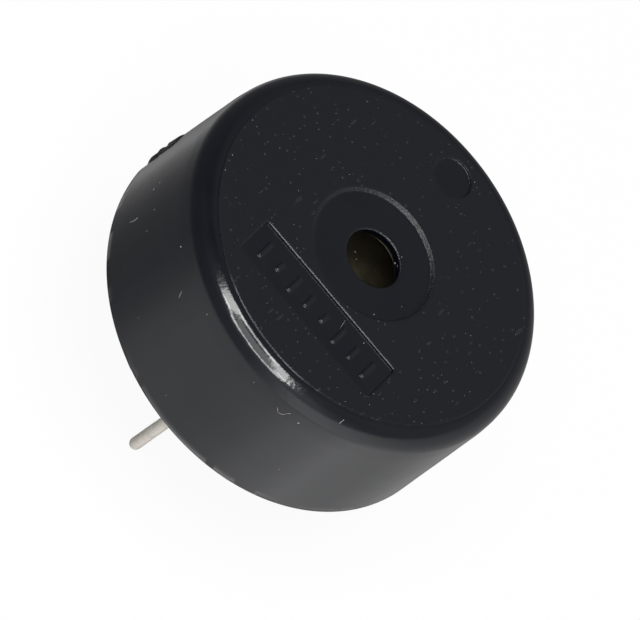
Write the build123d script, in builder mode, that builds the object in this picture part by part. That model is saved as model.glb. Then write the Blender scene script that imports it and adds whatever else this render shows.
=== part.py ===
from build123d import *
from math import radians, tan
import os

# Pin-mounted piezo sounder without an oscillator: a brass and ceramic diaphragm glued to a ledge
# in a round moulded case, which a pressed-in base closes from behind.
#
# Frame: the origin is the centre of the case's rear rim, which seats on the circuit board.
# +Z runs along the axis towards the sound port, and the pins point down -Z from the Y axis.
# +Y is the side of the small round witness mark, -Y that of the marking panel, and the torn
# moulding gate is on the -X side. All sizes are in millimetres.

# ---- driving dimensions -------------------------------------------------------------------

# case
rear_radius = 11.0  # at the seating rim, where the case is widest
wall_draft = 0.25  # how much less the wall's radius is at the front
case_height = 8.7
edge_radius = 1.15  # large round between wall and front face
face_step = 0.05  # the grained face stands this much proud of the round
front_wall = 0.75
side_wall = 0.85  # at the bore that takes the diaphragm
rebate_wall = 0.55  # at the rim, round the base
rim_break = 0.06
ledge_width = 0.8
ledge_height = 4.6  # above the seating rim
ceiling_round = 0.4

# sound port and the shallow features of the front face
port_radius = 1.63
port_offset = (0.16, -0.06)  # of the port from the case's axis
port_break = 0.08  # at both ends of the port
recess_radius = 3.8
recess_depth = 0.16
recess_slope = 45  # degrees, of the recess's wall
witness_radius = 1.2
witness_offset = 7.9
witness_depth = 0.12
panel_length = 10.1
panel_width = 2.6
panel_edge = 4.2  # from the axis to the panel's near edge
panel_depth = 0.12
tick_rise = 0.09
tick_width = 0.24
tick_pitch = 1.16
tick_lengths = (1.3, 0.7, 1.3, 1.0, 0.7, 1.3, 1.0, 1.3)

# gate remnant, torn in two
gate_low = 0.5  # above the seating rim
gate_heights = (0.9, 1.35)  # of the lower and the upper stub
gate_tear = 0.15
gate_width = 1.3
gate_stand = (0.16, 0.22)  # how far each stub stands out of the wall
gate_root = 0.4  # how far each stub runs into the wall
gate_taper = 12

# base
base_thickness = 1.0
base_recess = 0.5  # from the seating rim to the base's rear face
base_clearance = 0.05
boss_radius = 1.4
boss_height = 0.9
ejector_radius = 0.8
ejector_depth = 0.08
ejector_circle = 5.2
ejector_count = 4
sprue_radius = 0.9
sprue_depth = 0.12
seal_width = 0.85

# pins
pin_radius = 0.35
pin_pitch = 15.0
pin_length = 7.2  # below the seating rim
pin_tip_break = 0.1
shank_step = 0.2  # how much thicker the pin is from the base inwards
collar_width = 0.3
collar_height = 0.25
pin_tail = 0.55  # above the collar, where the lead is soldered

# diaphragm
plate_clearance = 0.15  # between the plate's edge and the bore
plate_thickness = 0.2
ceramic_margin = 3.0  # bare brass round the ceramic
ceramic_thickness = 0.22
electrode_margin = 0.5  # bare ceramic round the silver
electrode_thickness = 0.02
glue_width = 0.75  # of the bead on the plate's rear face
glue_height = 0.7

# leads and solder
lead_radius = 0.13
lead_tail = 1.0  # straight run at each end of a lead
lead_gap = 0.05  # solder between a lead and the face that it is soldered to
bend_share = 0.45  # of the shorter run, which a bend takes up
solder_radius = 0.62
solder_height = 0.42
pin_solder_width = 0.23
pin_solder_cap = 0.12  # above the pin's end
pin_solder_round = 0.3
plate_joint_inset = 1.6  # from the plate's edge to its joint
plate_joint_angle = 58.0  # degrees from X towards the pin
electrode_joint_inset = 1.1  # from the silver's edge to its joint
electrode_joint_angle = 51.0

# ---- sizes that follow --------------------------------------------------------------------

body_top = case_height - face_step
front_radius = rear_radius - wall_draft
face_radius = front_radius - edge_radius
ceiling = case_height - front_wall
base_rear = base_recess
base_front = base_rear + base_thickness
rebate_radius = rear_radius - rebate_wall
bore_radius = rear_radius - side_wall
chamber_radius = bore_radius - ledge_width
base_radius = rebate_radius - base_clearance
boss_limit = bore_radius - base_clearance
boss_top = base_front + boss_height
collar_top = boss_top + collar_height
pin_top = collar_top + pin_tail
shank_radius = pin_radius + shank_step
collar_radius = shank_radius + collar_width
pin_solder_radius = shank_radius + pin_solder_width
plate_radius = bore_radius - plate_clearance
ceramic_radius = plate_radius - ceramic_margin
electrode_radius = ceramic_radius - electrode_margin
plate_rear = ledge_height - plate_thickness
ceramic_rear = plate_rear - ceramic_thickness
electrode_rear = ceramic_rear - electrode_thickness
panel_middle = -panel_edge - panel_width / 2


def write(piece, name):
    """Labels a finished piece and writes it as one node."""
    piece.part.label = name
    export_step(piece.part, f"parts/{name}.step")


def disc(radius, low, high):
    """A plain round plate between two heights."""
    with BuildPart() as plate:
        with BuildSketch(Plane.XY.offset(low)):
            Circle(radius)
        extrude(amount=high - low)
    return plate


# ---- case ---------------------------------------------------------------------------------


def wall_radius(height):
    """Outer radius of the drafted wall at a height above the rim."""
    return rear_radius + (front_radius - rear_radius) * height / body_top


def build_case():
    """The moulded cup, with its port, shallow face features and gate remnant."""
    with BuildPart() as case:
        with BuildSketch(Plane.XZ):
            with BuildLine():
                Polyline(
                    (0, body_top),
                    (front_radius, body_top),
                    (rear_radius, 0),
                    (rebate_radius, 0),
                    (rebate_radius, base_front),
                    (bore_radius, base_front),
                    (bore_radius, ledge_height),
                    (chamber_radius, ledge_height),
                    (chamber_radius, ceiling),
                    (0, ceiling),
                    close=True,
                )
            make_face()
        revolve(axis=Axis.Z)
        circles = case.edges().filter_by(GeomType.CIRCLE)
        fillet(circles.group_by(Axis.Z)[-1], radius=edge_radius)
        inside = case.edges().filter_by(GeomType.CIRCLE).filter_by_position(
            Axis.Z, ceiling - 0.01, ceiling + 0.01
        )
        fillet(inside, radius=ceiling_round)
        rim = case.edges().filter_by(GeomType.CIRCLE).group_by(Axis.Z)[0]
        chamfer(rim.sort_by(SortBy.RADIUS)[-1], length=rim_break)

        # grained face, a little proud of the round
        with BuildSketch(Plane.XY.offset(body_top)):
            Circle(face_radius)
        extrude(amount=face_step)

        # smooth recess round the port, with a sloping wall
        with BuildSketch(Plane.XY.offset(case_height)):
            Circle(recess_radius)
        extrude(amount=-recess_depth, taper=recess_slope, mode=Mode.SUBTRACT)

        with BuildSketch(Plane.XY.offset(case_height)):
            with Locations((0, witness_offset)):
                Circle(witness_radius)
        extrude(amount=-witness_depth, mode=Mode.SUBTRACT)

        # marking panel, which holds plain raised ticks and no lettering
        with BuildSketch(Plane.XY.offset(case_height)):
            with Locations((0, panel_middle)):
                Rectangle(panel_length, panel_width)
        extrude(amount=-panel_depth, mode=Mode.SUBTRACT)
        with BuildSketch(Plane.XY.offset(case_height - panel_depth)):
            for place, length in enumerate(tick_lengths):
                x = (place - (len(tick_lengths) - 1) / 2) * tick_pitch
                with Locations((x, panel_middle)):
                    Rectangle(tick_width, length)
        extrude(amount=tick_rise)

        # sound port
        port_floor = case_height - recess_depth
        with Locations((*port_offset, port_floor)):
            Hole(port_radius, depth=port_floor - ceiling + 1)
        for height in (port_floor, ceiling):
            edges = case.edges().filter_by(GeomType.CIRCLE).filter_by_position(
                Axis.Z, height - 0.01, height + 0.01
            )
            chamfer(edges.sort_by(SortBy.RADIUS)[0], length=port_break)

        # gate remnant
        low = gate_low
        for height, stand in zip(gate_heights, gate_stand):
            middle = low + height / 2
            root = wall_radius(middle) - gate_root
            face = Plane(origin=(-root, 0, middle), x_dir=(0, -1, 0), z_dir=(-1, 0, 0))
            with BuildSketch(face):
                Rectangle(gate_width, height)
            extrude(amount=gate_root + stand, taper=gate_taper)
            low += height + gate_tear
    return case


# ---- base and its seal --------------------------------------------------------------------


def build_base():
    """The pressed-in rear cover, with a boss for each pin on its inner side."""
    with BuildPart() as base:
        with BuildSketch(Plane.XY.offset(base_rear)):
            Circle(base_radius)
        extrude(amount=base_thickness)
        with BuildSketch(Plane.XY.offset(base_front)):
            with GridLocations(0, pin_pitch, 1, 2):
                Circle(boss_radius)
            Circle(boss_limit, mode=Mode.INTERSECT)
        extrude(amount=boss_height)
        with BuildSketch(Plane.XY.offset(boss_top)):
            with GridLocations(0, pin_pitch, 1, 2):
                Circle(shank_radius)
        extrude(amount=-(boss_height + base_thickness), mode=Mode.SUBTRACT)
        with BuildSketch(Plane.XY.offset(base_rear)):
            with PolarLocations(ejector_circle, ejector_count, start_angle=45):
                Circle(ejector_radius)
        extrude(amount=ejector_depth, mode=Mode.SUBTRACT)
        with BuildSketch(Plane.XY.offset(base_rear)):
            Circle(sprue_radius)
        extrude(amount=sprue_depth, mode=Mode.SUBTRACT)
    return base


def build_seal():
    """Epoxy run round the base's rear edge, with a hollow free surface."""
    inner = rebate_radius - seal_width
    edge = base_recess * 0.2
    with BuildPart() as seal:
        with BuildSketch(Plane.XZ):
            with BuildLine():
                Line((inner, base_rear), (rebate_radius, base_rear))
                Line((rebate_radius, base_rear), (rebate_radius, edge))
                SagittaArc((rebate_radius, edge), (inner, base_rear), -seal_width * 0.12)
            make_face()
        revolve(axis=Axis.Z)
    return seal


# ---- pins, diaphragm and glue -------------------------------------------------------------


def build_pin(side):
    """A round tinned pin on the Y axis, with the shank in its boss and the collar on it."""
    with BuildPart() as pin:
        with BuildSketch(Plane.XY.offset(-pin_length)):
            with Locations((0, side * pin_pitch / 2)):
                Circle(pin_radius)
        extrude(amount=pin_length + base_rear)
        tip = pin.edges().filter_by(GeomType.CIRCLE).group_by(Axis.Z)[0]
        fillet(tip, radius=pin_tip_break)
        with BuildSketch(Plane.XY.offset(base_rear)):
            with Locations((0, side * pin_pitch / 2)):
                Circle(shank_radius)
        extrude(amount=pin_top - base_rear)
        with BuildSketch(Plane.XY.offset(boss_top)):
            with Locations((0, side * pin_pitch / 2)):
                Circle(collar_radius)
        extrude(amount=collar_height)
    return pin


def build_glue():
    """Silicone bead that holds the plate's edge against the ledge."""
    inner = plate_radius - glue_width
    low = plate_rear - glue_height
    with BuildPart() as glue:
        with BuildSketch(Plane.XZ):
            with BuildLine():
                Polyline(
                    (inner, plate_rear),
                    (plate_radius, plate_rear),
                    (plate_radius, ledge_height),
                    (bore_radius, ledge_height),
                    (bore_radius, low),
                )
                SagittaArc((bore_radius, low), (inner, plate_rear), -glue_height * 0.12)
            make_face()
        revolve(axis=Axis.Z)
    return glue


# ---- leads and solder ---------------------------------------------------------------------


def bend_radius(before, corner, after):
    """The largest round bend that leaves a little of each run straight."""
    turn = (corner - before).get_angle(after - corner)
    shorter = min((corner - before).length, (after - corner).length)
    return bend_share * shorter / tan(radians(turn / 2))


def build_lead(side, joint):
    """A thin lead from beside a pin's tail up to its joint on a face of the diaphragm."""
    start = Vector(shank_radius + lead_gap, side * pin_pitch / 2, collar_top + pin_tail / 2)
    away = start + Vector(lead_tail, 0, 0)
    end = joint - Vector(0, 0, lead_gap + lead_radius)
    level = Vector(end.X - away.X, end.Y - away.Y, 0).normalized()
    landing = end - level * lead_tail
    with BuildPart() as lead:
        with BuildLine():
            radii = [bend_radius(start, away, landing), bend_radius(away, landing, end)]
            route = FilletPolyline(start, away, landing, end, radius=radii)
        with BuildSketch(Plane(origin=route @ 0, z_dir=route % 0)):
            Circle(lead_radius)
        sweep()
    return lead


def build_joint(centre, lead):
    """A solder dome that hangs from a flat face, round the end of its lead."""
    ball = (solder_radius**2 + solder_height**2) / (2 * solder_height)
    with BuildPart() as dome:
        with Locations(centre + Vector(0, 0, ball - solder_height)):
            Sphere(ball)
        with Locations(centre + Vector(0, 0, 2 * ball)):
            Box(4 * ball, 4 * ball, 4 * ball, mode=Mode.SUBTRACT)
        add(lead.part, mode=Mode.SUBTRACT)
    return dome


def build_pin_joint(side, pin, lead):
    """Solder round a pin's tail, seated on its collar."""
    with BuildPart() as joint:
        with BuildSketch(Plane.XY.offset(collar_top)):
            with Locations((0, side * pin_pitch / 2)):
                Circle(pin_solder_radius)
        extrude(amount=pin_tail + pin_solder_cap)
        top = joint.edges().filter_by(GeomType.CIRCLE).group_by(Axis.Z)[-1]
        fillet(top, radius=pin_solder_round)
        add(pin.part, mode=Mode.SUBTRACT)
        add(lead.part, mode=Mode.SUBTRACT)
    return joint


def main():
    os.makedirs("parts", exist_ok=True)
    write(build_case(), "case")
    write(build_base(), "base_plate")
    write(build_seal(), "rear_seal")
    write(disc(plate_radius, plate_rear, ledge_height), "brass_plate")
    write(disc(ceramic_radius, ceramic_rear, plate_rear), "ceramic_disc")
    write(disc(electrode_radius, electrode_rear, ceramic_rear), "silver_electrode")
    write(build_glue(), "diaphragm_glue")
    plate_reach = plate_radius - plate_joint_inset
    electrode_reach = electrode_radius - electrode_joint_inset
    ends = (
        ("plate", -1, plate_reach, plate_joint_angle, plate_rear),
        ("electrode", 1, electrode_reach, electrode_joint_angle, electrode_rear),
    )
    for name, side, reach, angle, face in ends:
        joint = Vector(reach, 0, face).rotate(Axis.Z, side * angle)
        pin = build_pin(side)
        lead = build_lead(side, joint)
        write(pin, f"{name}_pin")
        write(lead, f"{name}_lead")
        write(build_joint(joint, lead), f"{name}_solder")
        write(build_pin_joint(side, pin, lead), f"{name}_pin_solder")


main()
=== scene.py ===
import bpy
import math
import numpy as np
from mathutils import Matrix, Vector
from mathutils.geometry import delaunay_2d_cdt

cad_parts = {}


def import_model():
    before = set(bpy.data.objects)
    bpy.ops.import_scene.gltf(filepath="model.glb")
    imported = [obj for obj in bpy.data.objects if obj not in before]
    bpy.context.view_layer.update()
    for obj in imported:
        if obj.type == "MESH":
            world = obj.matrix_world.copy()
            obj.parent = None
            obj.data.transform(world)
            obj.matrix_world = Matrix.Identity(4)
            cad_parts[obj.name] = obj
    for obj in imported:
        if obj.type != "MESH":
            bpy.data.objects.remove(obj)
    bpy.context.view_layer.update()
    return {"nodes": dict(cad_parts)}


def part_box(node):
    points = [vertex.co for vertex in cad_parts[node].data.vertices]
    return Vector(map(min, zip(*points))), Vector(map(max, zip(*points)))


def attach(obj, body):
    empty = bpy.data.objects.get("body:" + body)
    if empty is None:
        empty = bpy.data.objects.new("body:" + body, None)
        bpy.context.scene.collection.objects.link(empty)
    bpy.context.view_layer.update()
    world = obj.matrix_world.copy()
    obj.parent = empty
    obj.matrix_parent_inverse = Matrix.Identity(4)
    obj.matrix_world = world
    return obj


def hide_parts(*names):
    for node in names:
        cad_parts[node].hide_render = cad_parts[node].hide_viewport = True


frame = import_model()

# Sizes below are in millimetres, in the CAD frame: the origin is the centre of the case's rear
# rim, +Z runs to the sound port, and the pins point down -Z. Objects are made in metres.
MM = 0.001


def node_box(name):
    low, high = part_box(name)
    return np.array(low) / MM, np.array(high) / MM


case_high = node_box("case")[1]
base_low, base_high = node_box("base_plate")
plate_high = node_box("brass_plate")[1]
glue_high = node_box("diaphragm_glue")[1]
seal_low, seal_high = node_box("rear_seal")
pin_boxes = {name: node_box(name) for name in ("plate_pin", "electrode_pin")}

REAR = case_high[0]  # outer radius at the seating rim
TOP = case_high[2] - 0.012  # height of the grained face, which leaves room for dust on it
BORE = glue_high[0]  # radius of the bore that takes the diaphragm
REBATE = seal_high[0]  # radius of the rebate that takes the base
LEDGE = plate_high[2]
CHAMBER = BORE - 0.8
BASE_REAR = base_low[2]
BASE_FRONT = BASE_REAR + 1.0
BODY = TOP - 0.05  # height of the round, just under the face
FRONT = REAR - 0.25  # where the drafted wall would meet the front
EDGE = 1.15  # radius of the round
FACE = FRONT - EDGE
CEILING = TOP - 0.75
PORT, PORT_AT = 1.63, (0.16, -0.06)
RECESS, RECESS_DEPTH = 3.8, 0.16
WITNESS, WITNESS_AT, WITNESS_DEPTH = 1.2, 7.9, 0.12
PANEL = (10.1, 2.6)
PANEL_AT = -4.2 - PANEL[1] / 2
PANEL_DEPTH = 0.12
TICKS = (1.3, 0.7, 1.3, 1.0, 0.7, 1.3, 1.0, 1.3)
TICK_PITCH, TICK_WIDTH, TICK_RISE = 1.16, 0.24, 0.09
GATE_STUBS = (  # name, lower and upper height, how far it stands out, seed
    ("gate_stub_low", 0.5, 1.4, 0.15, 1),
    ("gate_stub_high", 1.55, 2.9, 0.2, 2),
)
PIN_RADIUS, PIN_SHANK, PIN_AT = 0.35, 0.55, 7.5
SPRUE, EJECTOR, EJECTOR_AT = 0.9, 0.8, 5.2  # radii of the marks, and how far out the ejectors are
EJECTOR_SIDE = 3.677  # EJECTOR_AT along X or Y, at 45 degrees
SEGMENTS = 256


# ---- mesh helpers -------------------------------------------------------------------------


def make_object(name, vertices, faces, material, smooth=True):
    """A mesh object from points in millimetres, riding on the part's one body."""
    mesh = bpy.data.meshes.new(name)
    mesh.from_pydata([tuple(float(c) * MM for c in v) for v in vertices], [], faces)
    mesh.validate()
    mesh.update()
    mesh.materials.append(material)
    if smooth:
        mesh.polygons.foreach_set("use_smooth", [True] * len(mesh.polygons))
    piece = bpy.data.objects.new(name, mesh)
    bpy.context.scene.collection.objects.link(piece)
    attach(piece, "root")
    return piece


def soften(piece, degrees=40):
    """Keeps flat faces flat beside their small rounds."""
    piece.data.set_sharp_from_angle(angle=math.radians(degrees))
    weighted = piece.modifiers.new("flat faces", "WEIGHTED_NORMAL")
    weighted.keep_sharp = True
    weighted.weight = 80


def circle(radius, count, centre=(0.0, 0.0)):
    turns = np.arange(count) * (2 * math.pi / count)
    return np.stack([centre[0] + radius * np.cos(turns), centre[1] + radius * np.sin(turns)], 1)


def rounded_box(width, height, radius, centre, step=0.12):
    """Outline of a rectangle with round corners, with evenly spaced points."""
    half_w, half_h = width / 2 - radius, height / 2 - radius
    points = []
    for index, (sx, sy) in enumerate(((1, 1), (-1, 1), (-1, -1), (1, -1))):
        for part in range(5):
            turn = math.pi / 2 * (index + part / 4)
            points.append((sx * half_w + radius * math.cos(turn), sy * half_h + radius * math.sin(turn)))
    out = []
    for a, b in zip(points, points[1:] + points[:1]):
        a, b = np.array(a), np.array(b)
        pieces = max(1, int(np.linalg.norm(b - a) / step))
        for part in range(pieces):
            out.append(a + (b - a) * part / pieces)
    return np.array(out) + np.array(centre)


def face_mesh(loops, spots, height_at, hole=None):
    """A flat region filled with triangles that follow its outlines.

    loops are (points, height) outlines, spots are the filling points, height_at gives a spot's
    height, and hole is a radius inside which nothing is filled."""
    coords, heights, edges, starts = [], [], [], []
    for points, height in loops:
        first = len(coords)
        starts.append(first)
        coords += [Vector((float(x), float(y))) for x, y in points]
        heights += [height] * len(points)
        edges += [(first + i, first + (i + 1) % len(points)) for i in range(len(points))]
    for x, y in spots:
        coords.append(Vector((float(x), float(y))))
        heights.append(height_at(x, y))
    found, _, faces, origin, _, _ = delaunay_2d_cdt(coords, edges, [], 0, 1e-7)
    place = [0] * len(coords)
    points = []
    for index, (where, source) in enumerate(zip(found, origin)):
        for s in source:
            place[s] = index
        points.append((where.x, where.y, heights[source[0]] if source else heights[0]))
    kept = []
    for face in faces:
        middle = sum((found[i] for i in face), Vector((0, 0))) / len(face)
        if hole is None or (middle - Vector(PORT_AT)).length > hole:
            kept.append(tuple(face))
    return points, kept, place, starts


def lathe(profile, count, start_ring, vertices, faces, close_to=None, shape=None, centre_at=None):
    """Adds rings of a turned profile after start_ring, and joins them with quads."""
    last = list(start_ring)
    turns = np.arange(count) * (2 * math.pi / count)
    for step, (radius, height) in enumerate(profile):
        ring = []
        for turn in turns:
            r, z = (radius, height) if shape is None else shape(radius, height, turn, step)
            ring.append(len(vertices))
            dx, dy = centre_at(radius, height) if centre_at else (0.0, 0.0)
            vertices.append((r * math.cos(turn) + dx, r * math.sin(turn) + dy, z))
        for i in range(count):
            j = (i + 1) % count
            faces.append((last[i], ring[i], ring[j], last[j]))
        last = ring
    if close_to is not None:
        for i in range(count):
            j = (i + 1) % count
            faces.append((last[i], close_to[i], close_to[j], last[j]))
    return last


def turned(name, profile, count, material, centre=(0.0, 0.0), shape=None, closed=False):
    """A turned piece: a solid with caps, or a ring when closed."""
    vertices, faces = [], []
    turns = np.arange(count) * (2 * math.pi / count)
    first = []
    radius, height = profile[0]
    for turn in turns:
        r, z = (radius, height) if shape is None else shape(radius, height, turn, 0)
        first.append(len(vertices))
        vertices.append((r * math.cos(turn), r * math.sin(turn), z))
    last = lathe(profile[1:], count, first, vertices, faces, first if closed else None, shape)
    if not closed:
        faces.append(tuple(reversed(first)))
        faces.append(tuple(last))
    vertices = [(x + centre[0], y + centre[1], z) for x, y, z in vertices]
    return make_object(name, vertices, faces, material)


def hash_noise(x, y, seed=0):
    """Smooth repeatable value noise from -1 to 1."""
    xi, yi = math.floor(x), math.floor(y)
    fx, fy = x - xi, y - yi
    fx, fy = fx * fx * (3 - 2 * fx), fy * fy * (3 - 2 * fy)

    def at(i, j):
        n = (i * 374761393 + j * 668265263 + seed * 974634777) & 0xFFFFFFFF
        n = ((n ^ (n >> 13)) * 1274126177) & 0xFFFFFFFF
        return ((n ^ (n >> 16)) & 0xFFFF) / 32767.5 - 1

    top = at(xi, yi) + (at(xi + 1, yi) - at(xi, yi)) * fx
    low = at(xi, yi + 1) + (at(xi + 1, yi + 1) - at(xi, yi + 1)) * fx
    return top + (low - top) * fy


# ---- materials ----------------------------------------------------------------------------


class Shader:
    """Short calls for building one node material."""

    def __init__(self, name):
        self.material = bpy.data.materials.new(name)
        self.material.use_nodes = True
        self.tree = self.material.node_tree
        self.skin = self.tree.nodes["Principled BSDF"]
        coords = self.node("ShaderNodeTexCoord")
        scale = self.node("ShaderNodeVectorMath")
        scale.operation = "SCALE"
        scale.inputs["Scale"].default_value = 1 / MM
        self.link(coords.outputs["Object"], scale.inputs[0])
        self.place = scale.outputs[0]
        split = self.node("ShaderNodeSeparateXYZ")
        self.link(self.place, split.inputs[0])
        self.x, self.y, self.z = split.outputs
        shape = self.node("ShaderNodeNewGeometry")
        split = self.node("ShaderNodeSeparateXYZ")
        self.link(shape.outputs["Normal"], split.inputs[0])
        self.lean = split.outputs[2]
        x_square = self.math("MULTIPLY", self.x, self.x)
        y_square = self.math("MULTIPLY", self.y, self.y)
        square = self.math("ADD", x_square, y_square)
        self.reach = self.math("SQRT", square)

    def node(self, kind):
        return self.tree.nodes.new(kind)

    def link(self, a, b):
        self.tree.links.new(a, b)

    def feed(self, value, socket):
        if isinstance(value, bpy.types.NodeSocket):
            self.link(value, socket)
        elif isinstance(value, (tuple, list)) and len(value) == 3 and len(socket.default_value) == 4:
            socket.default_value = (*value, 1)
        else:
            socket.default_value = value

    def noise(self, scale, detail=2.0, rough=0.5, stretch=None, place=None, warp=0.0):
        node = self.node("ShaderNodeTexNoise")
        node.inputs["Scale"].default_value = scale
        node.inputs["Detail"].default_value = detail
        node.inputs["Roughness"].default_value = rough
        node.inputs["Distortion"].default_value = warp
        place = place or self.place
        if stretch:
            mapping = self.node("ShaderNodeMapping")
            mapping.inputs["Scale"].default_value = stretch
            self.link(place, mapping.inputs[0])
            place = mapping.outputs[0]
        self.link(place, node.inputs["Vector"])
        return node.outputs["Fac"]

    def cells(self, scale, feature="F1", place=None):
        node = self.node("ShaderNodeTexVoronoi")
        node.feature = feature
        node.inputs["Scale"].default_value = scale
        self.link(place or self.place, node.inputs["Vector"])
        return node

    def dots(self, scale, rarity, size, stretch=None):
        """Round spots of mixed sizes, in some of the cells only."""
        place = self.place
        if stretch:
            mapping = self.node("ShaderNodeMapping")
            mapping.inputs["Scale"].default_value = stretch
            mapping.inputs["Rotation"].default_value = (0.0, 0.0, 0.7)
            self.link(place, mapping.inputs[0])
            place = mapping.outputs[0]
        cells = self.cells(scale, place=place)
        split = self.node("ShaderNodeSeparateXYZ")
        self.link(cells.outputs["Color"], split.inputs[0])
        radius = self.ramp(split.outputs[0], rarity, 1.0, 0.0, size)
        return self.ramp(self.math("SUBTRACT", radius, cells.outputs["Distance"]), -0.02, 0.05, smooth=True)

    def ramp(self, value, low, high, out_low=0.0, out_high=1.0, smooth=False):
        node = self.node("ShaderNodeMapRange")
        node.interpolation_type = "SMOOTHSTEP" if smooth else "LINEAR"
        self.link(value, node.inputs["Value"])
        for key, number in (("From Min", low), ("From Max", high), ("To Min", out_low), ("To Max", out_high)):
            self.feed(number, node.inputs[key])
        return node.outputs["Result"]

    def math(self, kind, a, b=0.0):
        node = self.node("ShaderNodeMath")
        node.operation = kind
        self.feed(a, node.inputs[0])
        self.feed(b, node.inputs[1])
        return node.outputs[0]

    def mix(self, factor, a, b):
        node = self.node("ShaderNodeMix")
        node.data_type = "RGBA"
        self.feed(factor, node.inputs["Factor"])
        self.feed(a, node.inputs[6])
        self.feed(b, node.inputs[7])
        return node.outputs[2]

    def blend(self, factor, a, b):
        node = self.node("ShaderNodeMix")
        self.feed(factor, node.inputs["Factor"])
        self.feed(a, node.inputs[2])
        self.feed(b, node.inputs[3])
        return node.outputs[0]

    def bump(self, height, depth, under=None):
        """depth is in millimetres."""
        node = self.node("ShaderNodeBump")
        node.inputs["Strength"].default_value = 1.0
        node.inputs["Distance"].default_value = depth * MM
        self.link(height, node.inputs["Height"])
        if under:
            self.link(under, node.inputs["Normal"])
        return node.outputs["Normal"]

    def finish(self, color, roughness, normal=None, **constants):
        self.feed(color, self.skin.inputs["Base Color"])
        self.feed(roughness, self.skin.inputs["Roughness"])
        if normal:
            self.link(normal, self.skin.inputs["Normal"])
        for key, value in constants.items():
            self.skin.inputs[key.replace("_", " ")].default_value = value
        return self.material


def case_plastic():
    """Black moulded plastic: finely grained with sparse pimples on the face, glossy elsewhere."""
    s = Shader("case plastic")
    on_face = s.ramp(s.z, TOP - 0.05, TOP - 0.036, smooth=True)
    fine = s.noise(16.0, 3.0, 0.65)
    coarse = s.noise(7.0, 2.0, 0.5)
    peel = s.noise(4.5, 2.0, 0.5)
    swell = s.noise(0.8, 2.0, 0.5)
    swirl = s.noise(0.5, 3.0, 0.6, warp=0.4)
    # sparse pimples, more of them in some patches than in others
    dot = s.dots(3.0, 0.42, 0.32)
    dash = s.dots(2.4, 0.66, 0.27, stretch=(1.0, 0.32, 1.0))
    patch = s.ramp(s.noise(0.45, 2.0, 0.5), 0.4, 0.6, 0.35, 1.0)
    dot = s.math("MULTIPLY", s.math("MAXIMUM", dot, dash), s.math("MULTIPLY", patch, on_face))
    normal = s.bump(swell, 0.012)
    normal = s.bump(peel, 0.0045, normal)
    grain = s.math("ADD", s.math("MULTIPLY", fine, 0.8), s.math("MULTIPLY", coarse, 0.3))
    normal = s.bump(s.math("MULTIPLY", grain, on_face), 0.007, normal)
    normal = s.bump(dot, 0.028, normal)
    # the recess wall and the edges of the marks were cut by spark and stayed rough
    flat = s.math("ABSOLUTE", s.lean)
    cut = s.math("MULTIPLY", s.ramp(flat, 0.96, 0.9), s.ramp(s.z, BODY - 0.2, BODY - 0.18))
    cut = s.math("MULTIPLY", cut, s.ramp(s.reach, FACE - 0.1, FACE - 0.15))
    cut = s.math("MULTIPLY", cut, s.ramp(s.y, -4.1, -4.0, 0.25, 1.0))
    normal = s.bump(s.math("MULTIPLY", s.noise(9.0, 3.0, 0.7), cut), 0.045, normal)
    base = s.mix(s.ramp(swirl, 0.35, 0.65), (0.0020, 0.0028, 0.0062), (0.0028, 0.0037, 0.0072))
    face = s.mix(s.ramp(fine, 0.35, 0.7), (0.0030, 0.0038, 0.0072), (0.0048, 0.0058, 0.0094))
    color = s.mix(on_face, base, face)
    color = s.mix(s.math("MULTIPLY", dot, 0.6), color, (0.022, 0.023, 0.026))
    rough = s.blend(on_face, s.ramp(swirl, 0.3, 0.7, 0.09, 0.13), s.ramp(coarse, 0.3, 0.7, 0.2, 0.26))
    rough = s.blend(cut, rough, 0.22)
    return s.finish(color, rough, normal, IOR=1.5)


def torn_plastic():
    """The broken gate: same plastic, rough and a little paler where it was stressed."""
    s = Shader("torn plastic")
    coarse = s.noise(5.0, 4.0, 0.6)
    fine = s.noise(18.0, 3.0, 0.6)
    normal = s.bump(coarse, 0.05)
    normal = s.bump(fine, 0.02, normal)
    color = s.mix(s.ramp(coarse, 0.45, 0.7), (0.007, 0.0075, 0.008), (0.016, 0.016, 0.017))
    return s.finish(color, s.ramp(fine, 0.3, 0.7, 0.45, 0.65), normal)


def base_plastic():
    """Rear cover: evenly blasted black plastic."""
    s = Shader("base plastic")
    fine = s.noise(9.0, 3.0, 0.6)
    flow = s.noise(0.5, 3.0, 0.55, warp=0.5)
    normal = s.bump(fine, 0.012)
    color = s.mix(s.ramp(flow, 0.35, 0.65), (0.0095, 0.0098, 0.0102), (0.0135, 0.0138, 0.0142))
    return s.finish(color, s.ramp(fine, 0.3, 0.7, 0.42, 0.55), normal)


def epoxy():
    s = Shader("sealing epoxy")
    wave = s.noise(0.8, 2.0, 0.5)
    dust = s.noise(12.0, 2.0, 0.6)
    normal = s.bump(wave, 0.06)
    color = s.mix(s.ramp(dust, 0.55, 0.8), (0.0060, 0.0058, 0.0055), (0.018, 0.017, 0.016))
    return s.finish(color, s.ramp(wave, 0.3, 0.7, 0.1, 0.22), normal)


def tinned_wire():
    """Dull tin on drawn wire, with faint drawing lines and handling marks."""
    s = Shader("tinned wire")
    lines = s.noise(6.0, 3.0, 0.6, stretch=(6.0, 6.0, 0.35))
    spots = s.noise(3.0, 3.0, 0.6)
    normal = s.bump(lines, 0.008)
    normal = s.bump(spots, 0.01, normal)
    color = s.mix(s.ramp(spots, 0.35, 0.65), (0.62, 0.59, 0.53), (0.72, 0.69, 0.63))
    return s.finish(color, s.ramp(lines, 0.3, 0.7, 0.48, 0.6), normal, Metallic=0.65)


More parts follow.
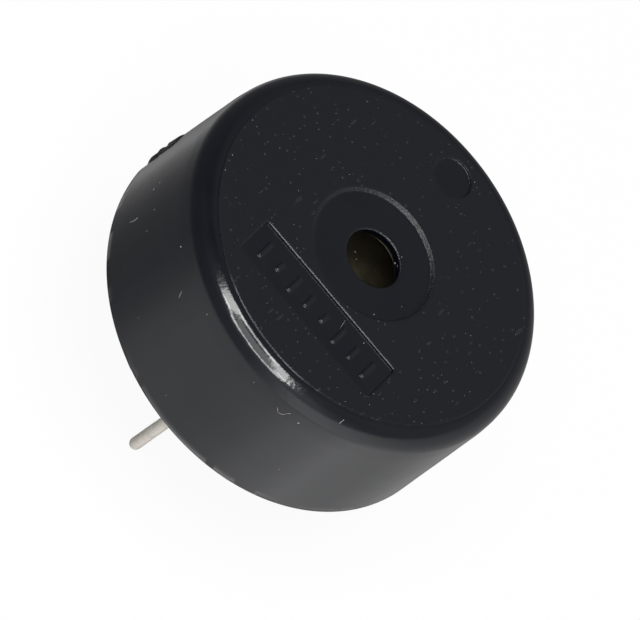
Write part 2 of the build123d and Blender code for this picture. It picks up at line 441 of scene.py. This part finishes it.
def brass():
    s = Shader("brass")
    rolled = s.noise(3.0, 3.0, 0.6, stretch=(0.15, 5.0, 1.0))
    stain = s.noise(0.6, 3.0, 0.6)
    normal = s.bump(rolled, 0.002)
    color = s.mix(s.ramp(stain, 0.4, 0.7), (0.32, 0.275, 0.175), (0.21, 0.18, 0.125))
    return s.finish(color, s.ramp(rolled, 0.3, 0.7, 0.34, 0.48), normal, Metallic=0.95)


def plain(name, low, high, rough, depth=0.01, scale=6.0, metallic=0.0):
    """A simple mottled material for a piece that is sealed inside the case."""
    s = Shader(name)
    fine = s.noise(scale, 3.0, 0.6)
    normal = s.bump(fine, depth)
    color = s.mix(s.ramp(fine, 0.35, 0.65), low, high)
    return s.finish(color, s.ramp(fine, 0.3, 0.7, rough - 0.06, rough + 0.06), normal, Metallic=metallic)


def lint():
    s = Shader("lint and dust")
    fine = s.noise(10.0, 2.0, 0.6)
    color = s.mix(s.ramp(fine, 0.35, 0.65), (0.2, 0.2, 0.2), (0.38, 0.38, 0.38))
    return s.finish(color, s.ramp(fine, 0.3, 0.7, 0.7, 0.9))


CASE = case_plastic()
TORN = torn_plastic()
BASE = base_plastic()
EPOXY = epoxy()
WIRE = tinned_wire()
BRASS = brass()
LINT = lint()
INNER = {
    "brass_plate": BRASS,
    "ceramic_disc": plain("piezo ceramic", (0.42, 0.37, 0.28), (0.5, 0.45, 0.35), 0.6),
    "silver_electrode": plain("silver paste", (0.68, 0.67, 0.64), (0.78, 0.77, 0.74), 0.5),
    "diaphragm_glue": plain("silicone", (0.5, 0.5, 0.48), (0.6, 0.6, 0.57), 0.35),
}
SOLDER = plain("solder", (0.5, 0.5, 0.5), (0.66, 0.66, 0.65), 0.3, metallic=1.0)
LEAD = plain("lead insulation", (0.32, 0.03, 0.025), (0.42, 0.05, 0.04), 0.4)


# ---- case ---------------------------------------------------------------------------------


def case_shell():
    """The moulded cup in one closed mesh, with every edge rounded a little."""
    loops = [(circle(FACE - 0.1, SEGMENTS), TOP)]
    for grow, drop in ((0.035, 0.0), (0.005, 0.012), (-0.012, WITNESS_DEPTH - 0.02), (-0.04, WITNESS_DEPTH)):
        loops.append((circle(WITNESS + grow, 96, (0, WITNESS_AT)), TOP - drop))
    slope = RECESS_DEPTH
    rng = np.random.default_rng(5)
    recess_edge = (  # beyond the recess's radius, below the face, unevenness
        (0.05, 0.0, 0.0),
        (-0.005, 0.015, 0.013),
        (-slope / 2, RECESS_DEPTH / 2, 0.017),
        (-slope + 0.02, RECESS_DEPTH - 0.015, 0.013),
        (-slope - 0.04, RECESS_DEPTH, 0.0),
    )
    for grow, drop, rough in recess_edge:
        ring = circle(RECESS + grow, 256)
        loops.append((ring * (1 + rng.uniform(-rough, rough, (256, 1)) / RECESS), TOP - drop))
    for grow, drop in ((0.008, 0.0), (0.0, 0.008), (-0.02, PANEL_DEPTH)):
        outline = rounded_box(PANEL[0] + 2 * grow, PANEL[1] + 2 * grow, 0.16 + grow, (0, PANEL_AT))
        loops.append((outline, TOP - drop))
    ticks = []
    for index, length in enumerate(TICKS):
        x = (index - (len(TICKS) - 1) / 2) * TICK_PITCH
        ticks.append((x, length))
        for grow, rise in ((0.03, 0.0), (0.008, 0.012), (-0.008, TICK_RISE - 0.02), (-0.035, TICK_RISE)):
            outline = rounded_box(TICK_WIDTH + 2 * grow, length + 2 * grow, 0.06 + grow, (x, PANEL_AT), 0.08)
            loops.append((outline, TOP - PANEL_DEPTH + rise))
    mouth = circle(PORT + 0.13, SEGMENTS, PORT_AT)
    loops.append((mouth, TOP - RECESS_DEPTH))

    def height_at(x, y):
        r = math.hypot(x, y)
        if r < RECESS - slope:
            return TOP - RECESS_DEPTH
        if math.hypot(x, y - WITNESS_AT) < WITNESS - 0.03:
            return TOP - WITNESS_DEPTH
        if abs(x) < PANEL[0] / 2 and abs(y - PANEL_AT) < PANEL[1] / 2:
            return TOP - PANEL_DEPTH
        return TOP + 0.004 * hash_noise(x * 4.0, y * 4.0, 3) - 0.004

    def clear(x, y):
        r = math.hypot(x, y)
        if r > FACE - 0.2 or RECESS - slope - 0.14 < r < RECESS + 0.14:
            return False
        if math.hypot(x - PORT_AT[0], y - PORT_AT[1]) < PORT + 0.22:
            return False
        if abs(math.hypot(x, y - WITNESS_AT) - WITNESS) < 0.12:
            return False
        dx, dy = abs(x) - PANEL[0] / 2, abs(y - PANEL_AT) - PANEL[1] / 2
        if max(dx, dy) < 0.12 and not max(dx, dy) < -0.12:
            return False
        for tick_x, length in ticks:
            if abs(x - tick_x) < TICK_WIDTH / 2 + 0.1 and abs(y - PANEL_AT) < length / 2 + 0.1:
                return False
        return True

    spots = []
    rng = np.random.default_rng(7)
    step = 0.17
    rows = int(2 * FACE / (step * 0.866))
    for row in range(rows):
        y = -FACE + row * step * 0.866
        for column in range(int(2 * FACE / step)):
            x = -FACE + (column + 0.5 * (row % 2)) * step
            jitter = rng.uniform(-0.02, 0.02, 2)
            if clear(x + jitter[0], y + jitter[1]):
                spots.append((x + jitter[0], y + jitter[1]))
    vertices, faces, place, starts = face_mesh(loops, spots, height_at, PORT + 0.12)
    vertices, faces = list(vertices), list(faces)
    outer = [place[starts[0] + i] for i in range(SEGMENTS)]
    inner = [place[starts[-1] + i] for i in range(SEGMENTS)]

    # outside, round, wall, rim and inside, down to the port's lower lip and up its bore
    profile = [(FACE - 0.022, TOP - 0.001), (FACE - 0.006, TOP - 0.008)]
    profile += [(FACE + 0.002, BODY + 0.008), (FACE + 0.02, BODY)]
    draft = math.atan2(REAR - FRONT, BODY)
    for part in range(1, 25):
        turn = math.pi / 2 - (math.pi / 2 - draft) * part / 24
        profile.append((FACE + EDGE * math.cos(turn), BODY - EDGE + EDGE * math.sin(turn)))
    wall_top = profile[-1]
    for part in range(1, 17):
        height = wall_top[1] * (1 - part / 16) + 0.06 * part / 16
        profile.append((REAR - (REAR - FRONT) * height / BODY, height))
    rim_start = len(profile)
    profile += [(REAR - 0.02, 0.02), (REAR - 0.06, 0.0), (REBATE + 0.03, 0.0), (REBATE, 0.03)]
    profile += [(REBATE, BASE_FRONT), (BORE, BASE_FRONT), (BORE, LEDGE), (CHAMBER, LEDGE)]
    for part in range(7):
        turn = math.pi / 2 * part / 6
        profile.append((CHAMBER - 0.4 + 0.4 * math.cos(turn), CEILING - 0.4 + 0.4 * math.sin(turn)))
    profile += [(6.0, CEILING), (PORT + 0.1, CEILING), (PORT + 0.03, CEILING + 0.02), (PORT, CEILING + 0.09)]
    bore_top = TOP - RECESS_DEPTH
    profile += [(PORT, CEILING + 0.2), (PORT, bore_top - 0.2), (PORT, bore_top - 0.11)]
    profile += [(PORT + 0.03, bore_top - 0.04), (PORT + 0.08, bore_top - 0.006)]

    def shape(r, z, turn, step):
        if step < 4:
            return r + 0.006 * hash_noise(turn * 30, 0.5, 5), z
        wave = 0.006 * hash_noise(turn * 2.5 + 7, z * 0.5, 9) - 0.006
        beside = turn - math.pi
        dent = 0.11 * math.exp(-(((beside - 0.02) / 0.05) ** 4)) * max(0.0, 1 - (z / 1.1) ** 2)
        if step < rim_start:
            return r + wave - dent, z
        if step < rim_start + 2:
            flash = max(0.0, hash_noise(turn * 14, 1.5, 11)) ** 2
            flash += 0.6 * max(0.0, hash_noise(turn * 47, 3.5, 13)) ** 3
            away = 0.035 if step == rim_start else 0.03
            return r - dent - away * (1 - min(1.0, flash * 1.6)), z
        return r, z

    def centre_at(radius, height):
        return PORT_AT if radius < PORT + 0.2 and height > CEILING - 0.01 else (0.0, 0.0)

    lathe(profile, SEGMENTS, outer, vertices, faces, inner, shape, centre_at)
    shell = make_object("case_shell", vertices, faces, CASE)
    soften(shell, 50)
    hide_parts("case")
    return shell


def gate_stubs():
    """Two torn stubs of the moulding gate on the -X side."""
    stubs = []
    for name, low, high, stand, seed in GATE_STUBS:
        count_z, count_y = 12, 12
        vertices, faces = [], []
        grid = {}
        for i in range(count_z + 1):
            for j in range(count_y + 1):
                u, v = i / count_z, j / count_y
                z = low + (high - low) * u
                y = -0.65 + 1.3 * v
                wall = -(REAR - (REAR - FRONT) * z / BODY)
                edge = min(u, 1 - u, v, 1 - v)
                rise = min(1.0, edge * 6) ** 0.6
                tear = 0.55 + 0.45 * hash_noise(u * 4 + seed * 5, v * 4, seed)
                out = wall - rise * stand * tear * (0.6 + 0.4 * u if seed == 1 else 1 - 0.5 * u)
                spread = 0.04 * hash_noise(u * 7, v * 7, seed + 9)
                grid[i, j] = len(vertices)
                vertices.append((out + (0.06 if edge == 0 else 0), y + spread * rise, z + spread * rise))
        for i in range(count_z):
            for j in range(count_y):
                faces.append((grid[i, j], grid[i + 1, j], grid[i + 1, j + 1], grid[i, j + 1]))
        back = {}
        ring = [(i, 0) for i in range(count_z + 1)] + [(count_z, j) for j in range(1, count_y + 1)]
        ring += [(i, count_y) for i in range(count_z - 1, -1, -1)]
        ring += [(0, j) for j in range(count_y - 1, 0, -1)]
        for key in ring:
            x, y, z = vertices[grid[key]]
            back[key] = len(vertices)
            vertices.append((x + 0.25, y, z))
        for a, b in zip(ring, ring[1:] + ring[:1]):
            faces.append((grid[a], back[a], back[b], grid[b]))
        faces.append(tuple(back[key] for key in reversed(ring)))
        stub = make_object(name, vertices, faces, TORN)
        stubs.append(stub)
    return stubs


# ---- rear: base, seal and pins ------------------------------------------------------------


def base_cover():
    """The rear cover, with its ejector marks, sprue mark and a hole for each pin."""
    radius = base_high[0]
    outer = circle(radius - 0.06, SEGMENTS)
    loops = [(outer, BASE_REAR)]
    for k in range(4):
        turn = math.radians(45 + 90 * k)
        centre = (EJECTOR_AT * math.cos(turn), EJECTOR_AT * math.sin(turn))
        for grow, deep in ((0.03, 0.0), (0.0, 0.01), (-0.012, 0.065), (-0.04, 0.08)):
            loops.append((circle(EJECTOR + grow, 64, centre), BASE_REAR + deep))
    for grow, deep in ((0.03, 0.0), (0.0, 0.01), (-0.012, 0.105), (-0.04, 0.12)):
        loops.append((circle(SPRUE + grow, 64), BASE_REAR + deep))
    for low, high in pin_boxes.values():
        centre = ((low[0] + high[0]) / 2, (low[1] + high[1]) / 2)
        for grow, deep in ((0.09, 0.0), (0.05, 0.01), (0.02, 0.05)):
            loops.append((circle(PIN_SHANK + grow, 64, centre), BASE_REAR + deep))
    spots = []
    for i in range(-40, 41):
        for j in range(-40, 41):
            x, y = (i + 0.5 * (j % 2)) * 0.25, j * 0.22
            near = [math.hypot(x, y) - SPRUE, math.hypot(x, abs(y) - PIN_AT) - 0.6]
            near += [math.hypot(abs(x) - EJECTOR_SIDE, abs(y) - EJECTOR_SIDE) - EJECTOR]
            if math.hypot(x, y) < radius - 0.25 and all(abs(n) > 0.12 for n in near):
                spots.append((x, y))

    def height_at(x, y):
        if math.hypot(x, y) < SPRUE:
            return BASE_REAR + 0.12
        if math.hypot(abs(x) - EJECTOR_SIDE, abs(y) - EJECTOR_SIDE) < EJECTOR:
            return BASE_REAR + 0.08
        if math.hypot(x, abs(y) - PIN_AT) < 0.6:
            return BASE_REAR + 0.05
        return BASE_REAR + 0.005 + 0.005 * hash_noise(x * 0.8, y * 0.8, 21)

    vertices, faces, place, starts = face_mesh(loops, spots, height_at)
    vertices = list(vertices)
    faces = [tuple(reversed(face)) for face in faces]
    ring = [place[starts[0] + i] for i in range(SEGMENTS)]
    profile = [(radius - 0.02, BASE_REAR + 0.015), (radius, BASE_REAR + 0.06)]
    profile += [(radius, BASE_FRONT - 0.06), (radius - 0.06, BASE_FRONT), (0.6, BASE_FRONT)]
    last = lathe(profile, SEGMENTS, ring, vertices, faces)
    faces[-SEGMENTS * len(profile):] = [tuple(reversed(f)) for f in faces[-SEGMENTS * len(profile):]]
    faces.append(tuple(last))
    cover = make_object("base_cover", vertices, faces, BASE)
    soften(cover, 50)
    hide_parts("base_plate")
    return cover


def seal_bead():
    """Epoxy run into the corner between rim and cover, uneven as it was dispensed."""
    inner, outer = seal_low[0] * -1 - 0.85, seal_high[0]
    low = seal_low[2]

    def shape(r, z, turn, step):
        wander = 0.5 * hash_noise(turn * 6, 0.3, 31) + 0.5 * hash_noise(turn * 17, 2.3, 33)
        share = (outer - r) / (outer - inner)
        if step in (0, 1):
            return r, z
        spread = 0.07 * wander * share if step < 12 else 0
        return r + spread, z + 0.02 * wander * (1 - share) + 0.015 * max(0.0, wander) * share

    profile = [(inner - 0.12, BASE_REAR + 0.02), (outer - 0.01, BASE_REAR + 0.02)]
    for part in range(9):
        share = part / 8
        radius = outer - 0.01 + (inner - outer) * share
        height = low + 0.03 + (BASE_REAR - low - 0.05) * (1 - (1 - share) ** 2.2)
        profile.append((radius, height))
    bead = turned("seal_bead", profile, SEGMENTS, EPOXY, shape=shape, closed=True)
    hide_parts("rear_seal")
    return bead


def pin(name, label):
    """A tinned pin with a sheared and rounded tip."""
    low, high = pin_boxes[name]
    centre = ((low[0] + high[0]) / 2, (low[1] + high[1]) / 2)
    tip, radius = low[2], PIN_RADIUS
    profile = [(0.05, tip + 0.002), (0.15, tip + 0.01), (0.225, tip + 0.04), (0.28, tip + 0.085)]
    profile += [(0.32, tip + 0.15), (0.342, tip + 0.23), (radius, tip + 0.34)]
    steps = 24
    for part in range(1, steps + 1):
        profile.append((radius, tip + 0.34 + (BASE_REAR - tip - 0.34) * part / steps))
    profile += [(0.55, BASE_REAR + 0.002), (0.55, 2.4), (0.85, 2.4)]
    profile += [(0.85, 2.65), (0.55, 2.65), (0.55, high[2])]

    def shape(r, z, turn, step):
        if step > 6 + steps:
            return r, z
        dent = 0.006 * hash_noise(turn * 1.6 + 3, z * 1.3, 41) - 0.004
        return max(0.02, r + dent * min(1, r / radius)), z

    made = turned(label, profile, 48, WIRE, centre, shape)
    soften(made, 60)
    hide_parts(name)
    return made


shell = case_shell()
gate_stubs()
base_cover()
seal_bead()
pin("plate_pin", "pin_plate_side")
pin("electrode_pin", "pin_electrode_side")

for name, material in INNER.items():
    frame["nodes"][name].data.materials.clear()
    frame["nodes"][name].data.materials.append(material)
for name, node in frame["nodes"].items():
    if name.endswith("_lead") or name.endswith("solder"):
        node.data.materials.clear()
        node.data.materials.append(LEAD if name.endswith("_lead") else SOLDER)


# ---- dust and lint ------------------------------------------------------------------------


def on_wall(turn, height, lift=0.0):
    """A point on the case's wall or round, with its outward direction; turn is in degrees."""
    a = math.radians(turn)
    if height > BODY - EDGE:
        rise = min(1.0, (height - (BODY - EDGE)) / EDGE)
        out, up = math.sqrt(1 - rise * rise), rise
        radius = FACE + EDGE * out
    else:
        out, up = 1.0, 0.03
        radius = REAR - (REAR - FRONT) * height / BODY - 0.008
    normal = np.array([out * math.cos(a), out * math.sin(a), up])
    return np.array([radius * math.cos(a), radius * math.sin(a), height]) + lift * normal, normal


def on_front(x, y, lift=0.0):
    """A point on the front face or in the recess round the port."""
    height = TOP - RECESS_DEPTH if math.hypot(x, y) < RECESS - RECESS_DEPTH else TOP
    return np.array([x, y, height + lift]), np.array([0.0, 0.0, 1.0])


# Where dust and lint lie. On the sides that the photo shows, most places were worked out from the
# photo; those on the other sides are invented.
WALL_DUST = (  # degrees round the case, height, size
    (-130.5, 6.78, 0.055), (-155.8, 3.84, 0.05), (-147.5, 4.38, 0.04), (-142.0, 3.84, 0.035),
    (-70.2, 7.08, 0.05), (-61.8, 3.0, 0.035), (-109.5, 7.14, 0.025), (-87.0, 7.2, 0.025),
    (-157.0, 4.3, 0.03), (-120.0, 2.1, 0.022), (-98.0, 1.4, 0.025), (-135.0, 1.8, 0.022),
    (20.0, 3.1, 0.03), (48.0, 5.6, 0.035), (75.0, 2.2, 0.03), (110.0, 6.2, 0.03), (150.0, 4.4, 0.035),
)
FRONT_DUST = (  # x, y, size
    (-9.4, -0.46, 0.03), (-8.78, -3.12, 0.035), (-8.47, -4.17, 0.035), (2.26, -2.61, 0.035),
    (2.99, -0.78, 0.028), (2.92, -4.6, 0.035), (-2.03, -7.89, 0.025), (0.49, -8.04, 0.025),
    (5.13, -6.34, 0.025), (4.38, -8.17, 0.028), (5.38, -7.06, 0.025), (-3.9, 2.3, 0.03),
    (1.14, 1.5, 0.04),
    (1.0, 8.9, 0.04), (-0.3, 8.9, 0.03), (6.6, 1.5, 0.028), (7.4, -1.9, 0.025), (-5.1, -1.2, 0.025),
)
PORT_DUST = (  # two crumbs on the port's far wall, two on the diaphragm
    ((1.155, 1.21, 8.15), (-0.61, -0.79, 0.0), 0.05),
    ((1.34, 1.04, 8.34), (-0.73, -0.68, 0.0), 0.035),
    ((-0.35, 2.86, LEDGE), (0.0, 0.0, 1.0), 0.05),
    ((-0.03, 2.60, LEDGE), (0.0, 0.0, 1.0), 0.035),
)


def grains():
    """Dust: small uneven crumbs that sit on the case, all in one object."""
    rng = np.random.default_rng(11)
    vertices, faces = [], []
    spots = [(*on_wall(turn, height), size) for turn, height, size in WALL_DUST]
    spots += [(*on_front(x, y), 0.72 * size) for x, y, size in FRONT_DUST]
    spots += [(np.array(place), np.array(normal), size) for place, normal, size in PORT_DUST]
    for place, normal, size in spots:
        side = np.cross(normal, (0.3, 0.2, 0.93))
        side /= np.linalg.norm(side)
        other = np.cross(normal, side)
        first = len(vertices)
        long = rng.uniform(1.0, 1.7)
        turn = rng.uniform(0, math.pi)
        for ring, (share, rise) in enumerate(((1.0, -0.25), (1.0, 0.25), (0.55, 0.6))):
            for k in range(7):
                a = 2 * math.pi * k / 7
                reach = size * share * rng.uniform(0.7, 1.15)
                u, v = reach * long * math.cos(a), reach * math.sin(a)
                u, v = u * math.cos(turn) - v * math.sin(turn), u * math.sin(turn) + v * math.cos(turn)
                vertices.append(place + side * u + other * v + normal * min(0.011, size * rise * 0.7))
        for ring in range(2):
            for k in range(7):
                a, b = first + ring * 7 + k, first + ring * 7 + (k + 1) % 7
                faces.append((a, b, b + 7, a + 7))
        faces.append(tuple(first + 14 + k for k in range(7)))
        faces.append(tuple(first + k for k in range(6, -1, -1)))
    return make_object("dust", vertices, faces, LINT, smooth=False)


def fibre(name, points, radius):
    """One lint fibre along a smooth line through its points."""
    points = np.array(points)
    dense = []
    for i in range(len(points) - 1):
        before, after = points[max(i - 1, 0)], points[min(i + 2, len(points) - 1)]
        for k in range(6):
            t = k / 6
            a, b = points[i], points[i + 1]
            bend = (2 * before - 5 * a + 4 * b - after) * t * t
            twist = (3 * a - before - 3 * b + after) * t**3
            dense.append(0.5 * (2 * a + (b - before) * t + bend + twist))
    dense.append(points[-1])
    vertices, faces = [], []
    for i, place in enumerate(dense):
        along = dense[min(i + 1, len(dense) - 1)] - dense[max(i - 1, 0)]
        along /= np.linalg.norm(along)
        side = np.cross(along, (0.31, 0.17, 0.93))
        side /= np.linalg.norm(side)
        other = np.cross(along, side)
        thick = radius * (0.45 if i in (0, len(dense) - 1) else 1.0)
        for k in range(6):
            a = math.pi / 3 * k
            vertices.append(place + thick * (math.cos(a) * side + math.sin(a) * other))
    for i in range(len(dense) - 1):
        for k in range(6):
            a, b = 6 * i + k, 6 * i + (k + 1) % 6
            faces.append((a, b, b + 6, a + 6))
    faces.append(tuple(range(5, -1, -1)))
    faces.append(tuple(6 * (len(dense) - 1) + k for k in range(6)))
    return make_object(name, vertices, faces, LINT)


grains()
FIBRES = {  # degrees round the case and height of each point, and the fibre's radius
    "lint_short": (((-119.0, 6.0), (-118.4, 5.82), (-118.0, 5.64)), 0.016),
    "lint_curved": (((-149.2, 2.04), (-148.7, 2.42), (-148.8, 2.82)), 0.018),
    "lint_wavy": (((-77.5, 7.08), (-76.3, 6.84), (-75.0, 6.92), (-74.4, 7.22), (-73.7, 7.38)), 0.014),
    "lint_edge": (((-61.3, 8.30), (-60.9, 8.40), (-60.5, 8.48)), 0.022),
    "lint_back": (((64.0, 3.9), (66.0, 4.2), (67.0, 4.7), (69.5, 4.8)), 0.014),
}
for name, (points, radius) in FIBRES.items():
    fibre(name, [on_wall(turn, height, radius * 0.6)[0] for turn, height in points], radius)
scratch = [(x, y, TOP - PANEL_DEPTH + 0.003) for x, y in ((1.42, -4.42), (1.47, -4.75), (1.54, -5.1))]
fibre("scratch_edge", scratch, 0.007)

# The camera's place in millimetres and its axes, fitted to the outlines in the photo.
CAMERA = np.array([-24.198, -211.602, 235.765])
RIGHT = np.array([0.6440, 0.5308, 0.5509])
UP = np.array([-0.7609, 0.5188, 0.3896])
BACK = np.array([-0.0790, -0.6701, 0.7381])


# ---- stage, light and camera --------------------------------------------------------------


def stage():
    """Floor at the pins' tips: the camera sees it white with the part's faint shadow."""
    floor_z = pin_boxes["plate_pin"][0][2]
    mesh = bpy.data.meshes.new("floor")
    size = 0.6
    corners = [(-size, -size, 0), (size, -size, 0), (size, size, 0), (-size, size, 0)]
    mesh.from_pydata(corners, [], [(0, 1, 2, 3)])
    material = bpy.data.materials.new("floor")
    material.use_nodes = True
    tree = material.node_tree
    skin = tree.nodes["Principled BSDF"]
    skin.inputs["Base Color"].default_value = (0.82, 0.82, 0.82, 1)
    skin.inputs["Roughness"].default_value = 0.9
    skin.inputs["Specular IOR Level"].default_value = 0.0
    rays = tree.nodes.new("ShaderNodeLightPath")
    seen = tree.nodes.new("ShaderNodeMath")
    seen.operation = "MAXIMUM"
    tree.links.new(rays.outputs["Is Camera Ray"], seen.inputs[0])
    tree.links.new(rays.outputs["Is Transmission Ray"], seen.inputs[1])
    share = tree.nodes.new("ShaderNodeMath")
    share.operation = "MULTIPLY"
    share.inputs[1].default_value = 0.94
    tree.links.new(seen.outputs[0], share.inputs[0])
    white = tree.nodes.new("ShaderNodeEmission")
    white.inputs["Strength"].default_value = 1.0
    clear = tree.nodes.new("ShaderNodeBsdfTransparent")
    shiny = tree.nodes.new("ShaderNodeMixShader")
    tree.links.new(rays.outputs["Is Glossy Ray"], shiny.inputs[0])
    tree.links.new(skin.outputs[0], shiny.inputs[1])
    tree.links.new(clear.outputs[0], shiny.inputs[2])
    both = tree.nodes.new("ShaderNodeMixShader")
    tree.links.new(share.outputs[0], both.inputs[0])
    tree.links.new(shiny.outputs[0], both.inputs[1])
    tree.links.new(white.outputs[0], both.inputs[2])
    tree.links.new(both.outputs[0], tree.nodes["Material Output"].inputs["Surface"])
    mesh.materials.append(material)
    floor = bpy.data.objects.new("floor", mesh)
    floor.location = (0, 0, floor_z * MM - 0.0001)
    bpy.context.scene.collection.objects.link(floor)


def placed(centre, axes):
    """A world matrix from a place in metres and three axes."""
    return Matrix.Translation(Vector(centre)) @ Matrix(axes).transposed().to_4x4()


def softbox(name, centre, along, width, height, radiance):
    """A rectangular light in metres that faces the part, with its width along one direction."""
    data = bpy.data.lights.new(name, "AREA")
    data.shape = "RECTANGLE"
    data.size, data.size_y = width, height
    data.energy = radiance * math.pi * width * height
    lamp = bpy.data.objects.new(name, data)
    out = Vector(centre).normalized()
    side = Vector(along)
    side = (side - side.dot(out) * out).normalized()
    lamp.matrix_world = placed(centre, (side, out.cross(side), out))
    bpy.context.scene.collection.objects.link(lamp)
    return lamp


# Brightness of the room round the part, every 15 degrees from -X through -Y: below the table's
# edge, level, and half way up. First read from measured reflections in the photo, then changed.
ROOM_LOW = (
    0.24, 0.28, 0.4, 0.66, 0.8, 0.84, 0.84, 0.86, 0.94, 1.14, 1.16, 1.26, 0.93,
    0.66, 0.54, 0.46, 0.39, 0.24, 0.14, 0.28, 0.5, 0.34, 0.25, 0.22, 0.24,
)
ROOM_LEVEL = (
    0.18, 0.19, 0.21, 0.24, 0.33, 0.36, 0.44, 0.85, 1.6, 1.6, 1.42, 1.12, 0.84,
    0.72, 0.62, 0.5, 0.34, 0.2, 0.17, 0.19, 0.2, 0.2, 0.18, 0.17, 0.18,
)
ROOM_HIGH = (
    0.21, 0.22, 0.26, 0.32, 0.5, 0.7, 0.72, 0.7, 0.8, 0.78, 0.56, 0.42, 0.34,
    0.36, 0.37, 0.37, 0.34, 0.28, 0.26, 0.25, 0.22, 0.17, 0.16, 0.16, 0.21,
)


def world():
    """White to the camera; shiny surfaces see a room that is palest to the front right."""
    w = bpy.data.worlds.new("studio")
    bpy.context.scene.world = w
    w.use_nodes = True
    tree = w.node_tree

    def node(kind, operation, *inputs):
        made = tree.nodes.new(kind)
        if operation:
            made.operation = operation
        for index, value in enumerate(inputs):
            if isinstance(value, bpy.types.NodeSocket):
                tree.links.new(value, made.inputs[index])
            else:
                made.inputs[index].default_value = value
        return made

    def blend(factor, a, b):
        made = tree.nodes.new("ShaderNodeMix")
        for index, value in ((0, factor), (2, a), (3, b)):
            if isinstance(value, bpy.types.NodeSocket):
                tree.links.new(value, made.inputs[index])
            else:
                made.inputs[index].default_value = value
        return made.outputs[0]

    coords = tree.nodes.new("ShaderNodeTexCoord")
    split = node("ShaderNodeSeparateXYZ", None, coords.outputs["Generated"])
    turn = node("ShaderNodeMath", "ARCTAN2", split.outputs[1], split.outputs[0])
    turn = node("ShaderNodeMath", "MULTIPLY_ADD", turn.outputs[0], 1 / (2 * math.pi), 0.5)
    levels = []
    for room in (ROOM_LOW, ROOM_LEVEL, ROOM_HIGH):
        curve = tree.nodes.new("ShaderNodeValToRGB")
        stops = curve.color_ramp.elements
        stops[0].position, stops[1].position = 0.0, 1.0
        for index in range(1, len(room) - 1):
            stops.new(index / (len(room) - 1))
        for stop, level in zip(stops, room):
            stop.color = (level / 2, level / 2, level / 2, 1)
        tree.links.new(turn.outputs[0], curve.inputs[0])
        levels.append(curve.outputs[0])

    def step(low, high):
        made = tree.nodes.new("ShaderNodeMapRange")
        made.interpolation_type = "SMOOTHSTEP"
        made.inputs["From Min"].default_value = low
        made.inputs["From Max"].default_value = high
        tree.links.new(split.outputs[2], made.inputs["Value"])
        return made.outputs["Result"]

    room = blend(step(-0.55, -0.2), levels[0], levels[1])
    room = blend(step(0.42, 0.64), room, levels[2])
    room = node("ShaderNodeMath", "MULTIPLY", room, 2.0).outputs[0]
    rays = tree.nodes.new("ShaderNodeLightPath")
    seen, through = rays.outputs["Is Camera Ray"], rays.outputs["Is Transmission Ray"]
    most = node("ShaderNodeMath", "MAXIMUM", seen, through)
    level = blend(rays.outputs["Is Glossy Ray"], 0.15, room)
    level = blend(most.outputs[0], level, 1.0)
    back = tree.nodes["Background"]
    back.inputs["Color"].default_value = (1, 1, 1, 1)
    tree.links.new(level, back.inputs["Strength"])


stage()
world()
# One light tent overhead, open at its middle: two legs from the zenith, and a front edge.
softbox("tent top", (0.005, 0.01, 0.5), (1, 0, 0), 0.11, 0.09, 8.0)
softbox("tent left leg", (-0.128, -0.12, 0.5), (175, 340, 0), 0.38, 0.075, 11.0)
softbox("tent left corner", (-0.195, -0.36, 0.5), (-40, 200, 0), 0.18, 0.07, 9.0)
softbox("tent right leg", (0.092, -0.125, 0.5), (-85, 350, 0), 0.35, 0.065, 11.0)
softbox("tent right corner", (0.133, -0.36, 0.5), (8, 160, 0), 0.15, 0.065, 11.0)
softbox("tent front", (-0.025, -0.48, 0.5), (1, 0, 0), 0.36, 0.07, 11.0)
softbox("tent lining", (-0.02, -0.24, 0.5), (1, 0, 0), 0.2, 0.25, 2.0)

camera_data = bpy.data.cameras.new("camera")
camera_data.sensor_width = 36.0
camera_data.lens = 337.5
camera_data.clip_start = 0.01
camera_data.clip_end = 10.0
camera = bpy.data.objects.new("camera", camera_data)
camera.matrix_world = placed(CAMERA * MM, (RIGHT, UP, BACK))
bpy.context.scene.collection.objects.link(camera)
bpy.context.scene.camera = camera
bpy.context.scene.view_settings.view_transform = "Standard"
